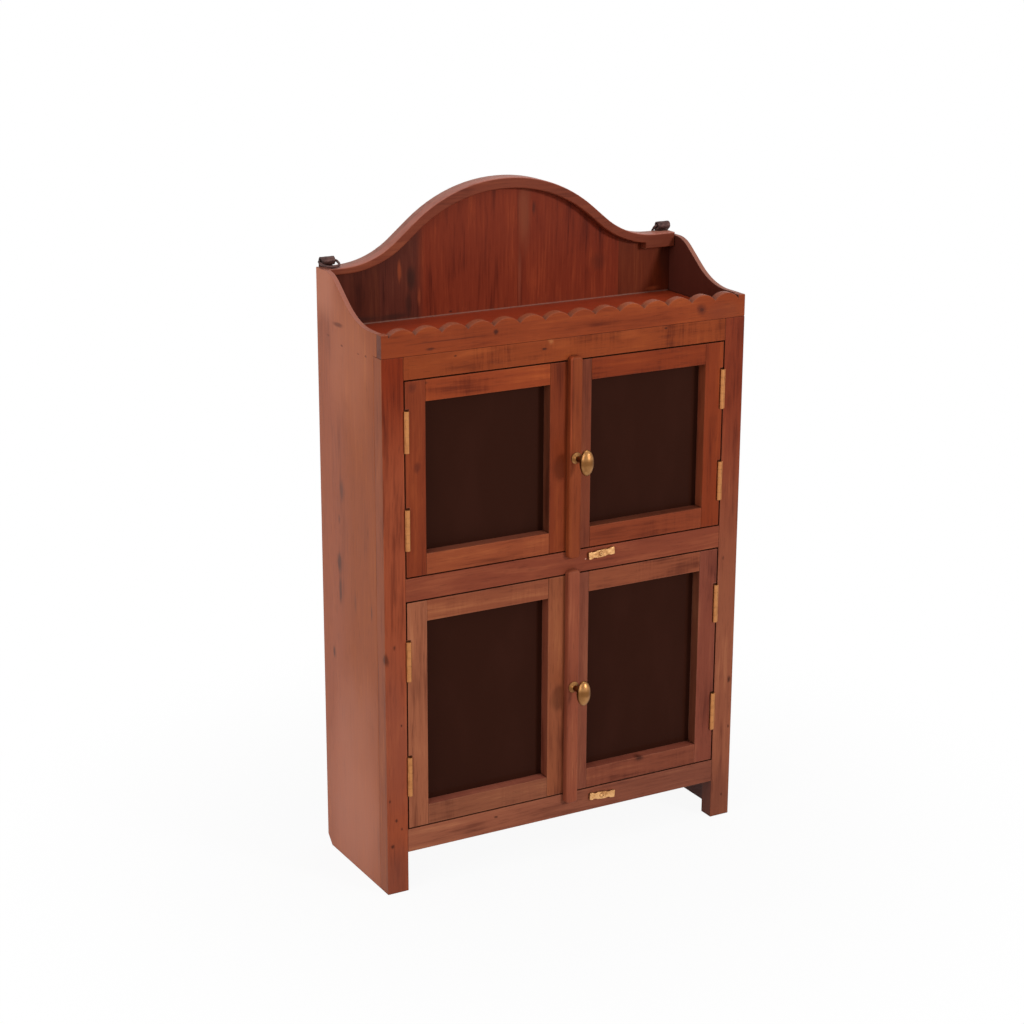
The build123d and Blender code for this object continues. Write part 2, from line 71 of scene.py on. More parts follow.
# ---- camera ----
camera_place = (-1.0242, -1.7744, 0.9583)
camera_turn = (72.927, -0.211, -29.220)  # degrees about X, Y and Z
camera_lens = 79.78  # millimetres
camera_sensor = 36.0  # millimetres wide
camera_near = 0.05
camera_far = 40.0

camera_data = bpy.data.cameras.new("camera")
camera_data.lens = camera_lens
camera_data.sensor_width = camera_sensor
camera_data.clip_start = camera_near
camera_data.clip_end = camera_far
camera = bpy.data.objects.new("camera", camera_data)
camera.location = camera_place
camera.rotation_euler = [math.radians(angle) for angle in camera_turn]
bpy.context.scene.collection.objects.link(camera)
bpy.context.scene.camera = camera


# ---- sizes, in metres ----
merge_distance = 0.000001
flat_angle = 0.3  # degrees; faces closer than this are one flat face
edge_angle = 28.0  # degrees; sharper edges are rounded
gallery_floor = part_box("gallery_shelf")[1].z
front = -0.055  # Y of the face frame's front
back_front = 0.069  # Y of the back planks' front
left_side = -0.19  # X of the left side's outer face
plank_gap = 0.0002  # between the back planks
blade_length = 0.02  # of the cutter for a screw's driver slot
slot_arris = 0.00015
dust_top = 0.0014  # heights above the gallery's floor between which its dust fades out
dust_full = 0.0006
dust_start = 0.0002  # the same below the floor, where the dust ends
dust_end = 0.0010
rim_highlight_low = 0.38  # heights between which the highlight painted on a strip's left corner fades in
rim_highlight_high = 0.44
wear_width = 0.0012  # of the rubbed band along an edge
# How far the darkening in corners reaches; on wood it is painted shade with old wax and dust.
wood_shade_and_dirt_reach = 0.004
metal_dirt_reach = 0.002
wood_bump = 0.0004
metal_bump = 0.0006
reflection_band_half_height = 0.0048  # of the band round a knob where a dark reflection is painted
reflection_band_core = 0.001  # where that painted reflection is at its darkest
reflection_band_rise = 0.0005  # above the middle of the knob
eased_widths = {"scalloped_rail": 0.0009, "left_side_panel": 0.0007, "right_side_panel": 0.0007}


# ---- helpers for shader nodes ----
def tone(red, green, blue):
    """A colour given as 0-255 display values, in the shader's linear values."""
    linear = []
    for value in (red, green, blue):
        share = value / 255
        linear.append(share / 12.92 if share <= 0.04045 else ((share + 0.055) / 1.055) ** 2.4)
    return (*linear, 1.0)


# Shares of the stain's red, green and blue in the darkest and the palest grain.
dark_grain = (0.48, 0.40, 0.42, 1.0)
pale_grain = (1.45, 1.72, 1.60, 1.0)
pore_colour = (0.02, 0.005, 0.003, 1.0)
rubbed_wood = (220, 160, 130)
dust_shade = (196, 148, 130)
# Colour of the painted shade, with old wax and dust, in the wood's corners.
wood_shade_and_dirt = (34, 14, 10)
metal_dirt = (52, 30, 18)
# Colour of the dark reflection painted as a band round a knob's middle.
painted_dark_reflection = (118, 76, 40)
figure_roughness = 0.14  # what the wood figure adds to a surface's roughness, on average


class Graph:
    """A node tree being built: an input that is given a socket is linked, else it is set."""

    def __init__(self, tree):
        self.tree = tree

    def add(self, kind, values=(), **settings):
        node = self.tree.nodes.new("ShaderNode" + kind)
        for name, value in settings.items():
            setattr(node, name, value)
        for key, value in dict(values).items():
            self.feed(node.inputs[key], value)
        return node

    def feed(self, socket, value):
        if isinstance(value, bpy.types.NodeSocket):
            self.tree.links.new(value, socket)
        else:
            socket.default_value = value

    def math(self, operation, first, second=0.0, clamp=False):
        return self.add("Math", {0: first, 1: second}, operation=operation,
                        use_clamp=clamp).outputs[0]

    def stretch(self, place, amounts):
        """Place times one amount for each axis."""
        return self.add("VectorMath", {0: place, 1: amounts}, operation="MULTIPLY").outputs[0]

    def noise(self, place, amounts, detail=2.0, roughness=0.5, distortion=0.0):
        """Noise of 0 to 1; amounts are how many features there are per metre on each axis."""
        values = {"Vector": self.stretch(place, amounts), "Scale": 1.0, "Detail": detail,
                  "Roughness": roughness, "Distortion": distortion}
        return self.add("TexNoise", values).outputs["Fac"]

    def ramp(self, value, low, high, to_low=0.0, to_high=1.0):
        """Smooth step from to_low to to_high as value goes from low to high."""
        node = self.add("MapRange", {"Value": value, "From Min": low, "From Max": high,
                                     "To Min": to_low, "To Max": to_high},
                        interpolation_type="SMOOTHSTEP")
        return node.outputs["Result"]

    def mix(self, share, first, second, blend="MIX"):
        node = self.add("Mix", data_type="RGBA", blend_type=blend)
        self.feed(node.inputs["Factor"], share)
        self.feed(node.inputs[6], first)
        self.feed(node.inputs[7], second)
        return node.outputs[2]

    def group(self, tree, values):
        node = self.tree.nodes.new("ShaderNodeGroup")
        node.node_tree = tree
        for key, value in values.items():
            self.feed(node.inputs[key], value)
        return node.outputs


def new_group(name, inputs, outputs):
    """A shader node group with its named sockets: the tree, its graph, inlets and outlets."""
    tree = bpy.data.node_groups.new(name, "ShaderNodeTree")
    for label, kind in inputs.items():
        tree.interface.new_socket(label, in_out="INPUT", socket_type="NodeSocket" + kind)
    for label, kind in outputs.items():
        tree.interface.new_socket(label, in_out="OUTPUT", socket_type="NodeSocket" + kind)
    inlet = tree.nodes.new("NodeGroupInput")
    outlet = tree.nodes.new("NodeGroupOutput")
    return tree, Graph(tree), inlet.outputs, outlet.inputs


# ---- shader node groups ----
def build_wood_figure():
    """Stained timber, its grain along X: bands, fine streaks, curl across the grain and pores."""
    tree, g, given, result = new_group(
        "wood_figure",
        {"Place": "Vector", "Tone": "Color", "Bands": "Float", "Streaks": "Float",
         "Curl": "Float", "Pores": "Float", "Blotches": "Float"},
        {"Color": "Color", "Roughness": "Float", "Height": "Float"})
    sway = g.noise(given["Place"], (5.0, 14.0, 14.0), detail=1.0)
    sway_vector = g.add("CombineXYZ", {"Y": g.math("MULTIPLY", sway, 0.012),
                                       "Z": g.math("MULTIPLY", sway, 0.009)}).outputs[0]
    place = g.add("VectorMath", {0: given["Place"], 1: sway_vector}, operation="ADD").outputs[0]
    bands = g.noise(place, (6.0, 105.0, 105.0), detail=3.0, roughness=0.6)
    streaks = g.noise(place, (18.0, 430.0, 430.0), detail=2.0)
    hairs = g.noise(place, (45.0, 1500.0, 1500.0), detail=1.0)
    curl = g.noise(place, (260.0, 9.0, 16.0), detail=3.0, roughness=0.7, distortion=0.8)
    curly = g.ramp(g.noise(given["Place"], (22.0, 9.0, 9.0), detail=1.0), 0.38, 0.62)
    curl = g.math("ADD", g.math("MULTIPLY", g.math("SUBTRACT", curl, 0.5), curly), 0.5)
    blotches = g.noise(given["Place"], (13.0, 30.0, 30.0), detail=3.0, distortion=0.3)
    level = 0.5
    for pattern, amount in ((bands, given["Bands"]), (streaks, given["Streaks"]),
                            (curl, given["Curl"]), (blotches, given["Blotches"]),
                            (hairs, 0.2)):
        swing = g.math("MULTIPLY", g.math("SUBTRACT", pattern, 0.5), amount)
        level = g.math("ADD", level, swing)
    dark = g.mix(1.0, given["Tone"], dark_grain, blend="MULTIPLY")
    pale = g.mix(1.0, given["Tone"], pale_grain, blend="MULTIPLY")
    lower = g.mix(g.ramp(level, 0.1, 0.5), dark, given["Tone"])
    colour = g.mix(g.ramp(level, 0.5, 0.95), lower, pale)
    pore_field = g.noise(place, (75.0, 1400.0, 1400.0), detail=0.0)
    pores = g.math("MULTIPLY", g.ramp(pore_field, 0.66, 0.74), given["Pores"])
    colour = g.mix(pores, colour, g.mix(0.5, colour, pore_colour))
    g.feed(result["Color"], colour)
    g.feed(result["Roughness"], g.math("ADD", g.math("MULTIPLY", streaks, 0.12),
                                       g.math("MULTIPLY", blotches, 0.16)))
    g.feed(result["Height"], g.math("SUBTRACT", g.math("MULTIPLY", streaks, 0.35), pores))
    return tree


def build_edge_wear():
    """Mask of rubbed edges: where the rounded normal leaves the true one, broken up by noise."""
    tree, g, given, result = new_group(
        "edge_wear", {"Place": "Vector", "Width": "Float", "Amount": "Float"},
        {"Mask": "Float"})
    rounded = g.add("Bevel", {"Radius": given["Width"]}, samples=6).outputs["Normal"]
    plain = g.add("NewGeometry").outputs["Normal"]
    facing = g.add("VectorMath", {0: rounded, 1: plain}, operation="DOT_PRODUCT").outputs["Value"]
    edge = g.ramp(facing, 0.998, 0.85)
    broken = g.ramp(g.noise(given["Place"], (60.0, 160.0, 160.0), detail=3.0), 0.25, 0.7)
    g.feed(result["Mask"], g.math("MULTIPLY", g.math("MULTIPLY", edge, broken), given["Amount"],
                                  clamp=True))
    return tree


def build_painted_top_sheen():
    """Mask of the faces that look up, where a sheen is painted on them as if lit from above."""
    tree, g, given, result = new_group(
        "painted_top_sheen", {"Place": "Vector", "Amount": "Float"}, {"Mask": "Float"})
    normal = g.add("NewGeometry").outputs["Normal"]
    upward = g.ramp(g.add("SeparateXYZ", {0: normal}).outputs["Z"], 0.3, 0.7)
    patchy = g.ramp(g.noise(given["Place"], (50.0, 120.0, 120.0), detail=4.0), 0.1, 0.6, 0.45, 1.0)
    g.feed(result["Mask"], g.math("MULTIPLY", g.math("MULTIPLY", upward, patchy), given["Amount"],
                                  clamp=True))
    return tree


def build_recess_shade_and_dirt():
    """Mask of corners and recesses from how closed in a point is: painted shade there, with old wax
    and dust.
    """
    tree, g, given, result = new_group(
        "recess_shade_and_dirt", {"Reach": "Float", "Amount": "Float"}, {"Mask": "Float"})
    openness = g.add("AmbientOcclusion", {"Distance": given["Reach"]}, samples=8).outputs["AO"]
    closed = g.ramp(openness, 0.75, 0.2)
    g.feed(result["Mask"], g.math("MULTIPLY", closed, given["Amount"], clamp=True))
    return tree


def build_stain_mark():
    """Mask of one knot, smudge or speck: an oval with a ragged edge round a given centre."""
    tree, g, given, result = new_group(
        "stain_mark", {"Place": "Vector", "Centre": "Vector", "Size": "Vector"},
        {"Mask": "Float"})
    offset = g.add("VectorMath", {0: given["Place"], 1: given["Centre"]},
                   operation="SUBTRACT").outputs[0]
    share = g.add("VectorMath", {0: offset, 1: given["Size"]}, operation="DIVIDE").outputs[0]
    shift = g.stretch(given["Centre"], (300.0, 300.0, 300.0))
    wander = g.add("VectorMath", {0: share, 1: shift}, operation="ADD").outputs[0]
    ragged = g.noise(wander, (1.0, 1.0, 1.0), detail=2.0)
    radius = g.add("VectorMath", {0: share}, operation="LENGTH").outputs["Value"]
    radius = g.math("ADD", radius, g.math("MULTIPLY", g.math("SUBTRACT", ragged, 0.5), 0.9))
    g.feed(result["Mask"], g.ramp(radius, 1.0, 0.2))
    return tree


def build_old_metal():
    """Handled metal: cloudy tarnish, fine scratches and a dented surface."""
    tree, g, given, result = new_group(
        "old_metal",
        {"Place": "Vector", "Bright": "Color", "Dull": "Color", "Tarnish": "Float",
         "Dents": "Float"},
        {"Color": "Color", "Roughness": "Float", "Height": "Float"})
    clouds = g.noise(given["Place"], (170.0, 170.0, 170.0), detail=4.0, roughness=0.6)
    scratches = g.noise(given["Place"], (300.0, 2500.0, 900.0), detail=2.0)
    dents = g.noise(given["Place"], (420.0, 420.0, 420.0), detail=2.0)
    share = g.math("MULTIPLY", g.ramp(clouds, 0.35, 0.7), given["Tarnish"])
    share = g.math("ADD", share, g.math("MULTIPLY", g.math("SUBTRACT", scratches, 0.5), 0.3),
                   clamp=True)
    g.feed(result["Color"], g.mix(share, given["Bright"], given["Dull"]))
    g.feed(result["Roughness"], g.math("ADD", g.math("MULTIPLY", share, 0.25),
                                       g.math("MULTIPLY", scratches, 0.1)))
    g.feed(result["Height"], g.math("ADD", g.math("MULTIPLY", dents, given["Dents"]),
                                    g.math("MULTIPLY", scratches, 0.1)))
    return tree


wood_figure = build_wood_figure()
edge_wear = build_edge_wear()
painted_top_sheen = build_painted_top_sheen()
recess_shade_and_dirt = build_recess_shade_and_dirt()
stain_mark = build_stain_mark()
old_metal = build_old_metal()


# ---- helpers for materials and pieces ----
def new_material(name):
    material = bpy.data.materials.new(name)
    material.use_nodes = True
    material.node_tree.nodes.clear()
    return material, Graph(material.node_tree)


def finish_material(g, shader):
    output = g.add("OutputMaterial")
    g.tree.links.new(shader.outputs["BSDF"], output.inputs["Surface"])


def dress(piece, material):
    """Every face of the piece gets this material."""
    mesh = piece.data
    if not mesh.materials:
        mesh.materials.append(material)
    for index in range(len(mesh.materials)):
        mesh.materials[index] = material


def whole_copy(node):
    """A new piece with the node's mesh, its split corners joined and its flat faces whole."""
    mesh = nodes[node].data.copy()
    form = bmesh.new()
    form.from_mesh(mesh)
    bmesh.ops.remove_doubles(form, verts=form.verts, dist=merge_distance)
    bmesh.ops.dissolve_limit(form, angle_limit=math.radians(flat_angle), verts=form.verts,
                             edges=form.edges)
    form.to_mesh(mesh)
    form.free()
    piece = bpy.data.objects.new(node + "_shaped", mesh)
    bpy.context.scene.collection.objects.link(piece)
    return piece


def settle(piece):
    """Applies the piece's modifiers to its mesh."""
    graph = bpy.context.evaluated_depsgraph_get()
    mesh = bpy.data.meshes.new_from_object(piece.evaluated_get(graph))
    piece.modifiers.clear()
    piece.data = mesh


def stand_in(piece, node):
    """The piece takes the node's place and rides on its body."""
    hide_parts(node)
    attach(piece, body_of(nodes[node])[0])
    return piece


def add_bevel(piece, width, segments):
    bevel = piece.modifiers.new("rounded_edges", "BEVEL")
    bevel.width = width
    bevel.segments = segments
    bevel.limit_method = "ANGLE"
    bevel.angle_limit = math.radians(edge_angle)


def smooth(piece):
    for face in piece.data.polygons:
        face.use_smooth = True


def eased(node, width):
    """The node with its sharp edges worn round."""
    piece = whole_copy(node)
    add_bevel(piece, width, 3)
    smooth(piece)
    piece.modifiers.new("even_normals", "WEIGHTED_NORMAL").keep_sharp = True
    settle(piece)
    low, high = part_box(node)
    for vertex in piece.data.vertices:
        vertex.co = [min(max(value, least), most)
                     for value, least, most in zip(vertex.co, low, high)]
    return stand_in(piece, node)


def closed_up(node, gap):
    """The plank with its left edge moved out by the gap, to meet its neighbour."""
    piece = whole_copy(node)
    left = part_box(node)[0].x
    for vertex in piece.data.vertices:
        if vertex.co.x < left + gap:
            vertex.co.x -= gap
    return stand_in(piece, node)


def hammered(node, edge, cell, depth, wave):
    """The node as rough cast or forged metal: round edges and a surface sunk by up to depth."""
    piece = whole_copy(node)
    add_bevel(piece, edge, 2)
    remesh = piece.modifiers.new("even_faces", "REMESH")
    remesh.mode = "VOXEL"
    remesh.voxel_size = cell
    settle(piece)
    mesh = piece.data
    starts = [vertex.co.copy() for vertex in mesh.vertices]
    normals = [vertex.normal.copy() for vertex in mesh.vertices]
    for vertex, start, normal in zip(mesh.vertices, starts, normals):
        sunk = 0.5 - 0.5 * noise.noise(start / wave) - 0.25 * noise.noise(start / wave * 2.7)
        vertex.co = start - normal * depth * sunk
    smooth(piece)
    return stand_in(piece, node)


def slotted(node, facing, turns, width, depth):
    """The node's screws with a driver slot across each head; facing is -1 or 1, along Y."""
    piece = whole_copy(node)
    form = bmesh.new()
    form.from_mesh(piece.data)
    heads = []
    seen = set()
    for first in form.verts:
        if first in seen:
            continue
        seen.add(first)
        found = [first]
        for vertex in found:
            for edge in vertex.link_edges:
                other = edge.other_vert(vertex)
                if other not in seen:
                    seen.add(other)
                    found.append(other)
        xs, ys, zs = ([vertex.co[axis] for vertex in found] for axis in range(3))
        face_y = max(ys) if facing > 0 else min(ys)
        heads.append(((min(xs) + max(xs)) / 2, face_y, (min(zs) + max(zs)) / 2))
    form.free()
    # From left to right and from the lowest up, so that each screw keeps its own turn.
    heads.sort(key=lambda head: (round(head[0], 3), head[2]))
    blades = bmesh.new()
    for head, turn in zip(heads, turns):
        place = Matrix.Translation(head)
        swing = Matrix.Rotation(math.radians(turn), 4, "Y")
        size = Matrix.Diagonal((blade_length, depth * 2, width, 1.0))
        bmesh.ops.create_cube(blades, size=1.0, matrix=place @ swing @ size)
    blade_mesh = bpy.data.meshes.new("screwdriver_blades")
    blades.to_mesh(blade_mesh)
    blades.free()
    blade = bpy.data.objects.new("screwdriver_blades", blade_mesh)
    bpy.context.scene.collection.objects.link(blade)
    cut = piece.modifiers.new("slots", "BOOLEAN")
    cut.operation = "DIFFERENCE"
    cut.solver = "EXACT"
    cut.object = blade
    add_bevel(piece, slot_arris, 2)
    settle(piece)
    bpy.data.objects.remove(blade)
    return stand_in(piece, node)


# ---- wood ----
# Turns that bring the grain's direction to the figure's X axis.
grain_turns = {"x": (0.0, 0.0, 0.0), "y": (0.0, 0.0, -90.0), "z": (0.0, 90.0, 0.0)}


def wood(name, shade, grain, seed, bands=0.9, streaks=0.45, curl=0.0, pores=0.35, blotches=0.9,
         satin=0.45, wear=0.35, tops=0.0, top_sheen_shade=(168, 112, 96), fade=None, far_shade=None,
         ends=None, rim_highlight=None, reveal=None, dust=0.0, marks=()):
    """Stained and waxed board, its grain along the axis that grain names.

    bands, streaks, curl, pores and blotches are how strong each part of the figure is.  satin is
    the roughness.  wear rubs the edges.  The top amount paints a sheen on the faces that look up,
    towards the top shade: a painted highlight.  fade is (axis, from, to): along it the stain goes
    from shade to far_shade.  ends gives the shade of the faces that look left, -1, or right, 1:
    partly their stain, partly painted shade and sheen on those sides.  The rim shade is a
    highlight painted on the rounded corners on the left, high up.  reveal is the shade of the
    faces that don't look forward.  dust is how much lies along the corner with the gallery's
    floor.  marks are knots, streaks and smudges, and a few painted shades and reflections, each
    a centre, its half sizes, its strength and its shade.  Corners and recesses also get painted
    shade, with old wax and dust.
    """
    material, g = new_material(name)
    place = g.add("TexCoord").outputs["Object"]
    turn = [math.radians(angle) for angle in grain_turns[grain]]
    shifted = g.add("Mapping", {"Vector": place, "Rotation": turn,
                                "Location": (seed * 0.37, seed * 0.11, seed * 0.23)})
    along = shifted.outputs["Vector"]
    stain = tone(*shade)
    if fade:
        axis, start, end = fade
        way = g.add("SeparateXYZ", {0: place}).outputs[axis]
        stain = g.mix(g.ramp(way, start, end), stain, tone(*far_shade))
    normal = g.add("SeparateXYZ", {0: g.add("NewGeometry").outputs["Normal"]}).outputs
    # Faces that look left or right take their own shade: partly the wood's stain, partly painted
    # shade and sheen on those sides.
    for side, end_shade in (ends or {}).items():
        outward = g.ramp(g.math("MULTIPLY", normal["X"], float(side)), 0.5, 0.8)
        stain = g.mix(outward, stain, tone(*end_shade))
    # Painted highlight on the rounded corners that look left, high up.
    if rim_highlight:
        leftward = g.math("MULTIPLY", normal["X"], -1.0)
        corner = g.math("MULTIPLY", g.ramp(leftward, 0.2, 0.4), g.ramp(leftward, 0.92, 0.75))
        high_up = g.ramp(g.add("SeparateXYZ", {0: place}).outputs["Z"], rim_highlight_low, rim_highlight_high)
        stain = g.mix(g.math("MULTIPLY", corner, high_up), stain, tone(*rim_highlight))
    if reveal:
        sideways = g.ramp(g.math("ABSOLUTE", normal["Y"]), 0.5, 0.2)
        stain = g.mix(sideways, stain, tone(*reveal))
    figure = g.group(wood_figure, {
        "Place": along, "Tone": stain, "Bands": bands, "Streaks": streaks, "Curl": curl,
        "Pores": pores, "Blotches": blotches})
    colour = figure["Color"]
    for centre, size, depth, mark_shade in marks:
        spot = g.group(stain_mark, {"Place": place, "Centre": centre, "Size": size})["Mask"]
        colour = g.mix(g.math("MULTIPLY", spot, depth), colour, tone(*mark_shade))
    # Painted highlight: the faces that look up are paled towards the top shade, as if lit from above.
    if tops:
        sheen_mask = g.group(painted_top_sheen, {"Place": along, "Amount": tops})["Mask"]
        colour = g.mix(sheen_mask, colour, tone(*top_sheen_shade))
    if wear:
        rubbed = g.group(edge_wear, {"Place": along, "Width": wear_width, "Amount": wear})["Mask"]
        colour = g.mix(rubbed, colour, g.mix(0.5, colour, tone(*rubbed_wood)))
    if dust:
        height = g.add("SeparateXYZ", {0: place}).outputs["Z"]
        above = g.ramp(height, gallery_floor + dust_top, gallery_floor + dust_full)
        below = g.ramp(height, gallery_floor - dust_end, gallery_floor - dust_start)
        low = g.math("MULTIPLY", above, below)
        low = g.math("MULTIPLY", low, g.ramp(normal["Y"], -0.3, -0.6))
        broken = g.ramp(g.noise(place, (160.0, 160.0, 160.0), detail=3.0), 0.3, 0.55, 0.3, dust)
        colour = g.mix(g.math("MULTIPLY", low, broken), colour, tone(*dust_shade))
    # Painted shade in corners and recesses, with old wax and dust.
    recess_darkening = g.group(recess_shade_and_dirt, {"Reach": wood_shade_and_dirt_reach, "Amount": 0.7})["Mask"]
    colour = g.mix(recess_darkening, colour, tone(*wood_shade_and_dirt))
    bump = g.add("Bump", {"Height": figure["Height"], "Strength": 0.25, "Distance": wood_bump})
    shader = g.add("BsdfPrincipled", {
        "Base Color": colour,
        "Roughness": g.math("ADD", figure["Roughness"], satin - figure_roughness),
        "Specular IOR Level": 0.08, "Normal": bump.outputs["Normal"]})
    finish_material(g, shader)
    return material


# ---- shades of marks, as 0-255 display values ----
dark_knot = (58, 26, 18)
dark_corner = (54, 28, 22)
knot_flame = (150, 70, 40)
soft_smudge = (84, 34, 22)
pale_speck = (214, 160, 140)
grey_streak = (94, 62, 54)

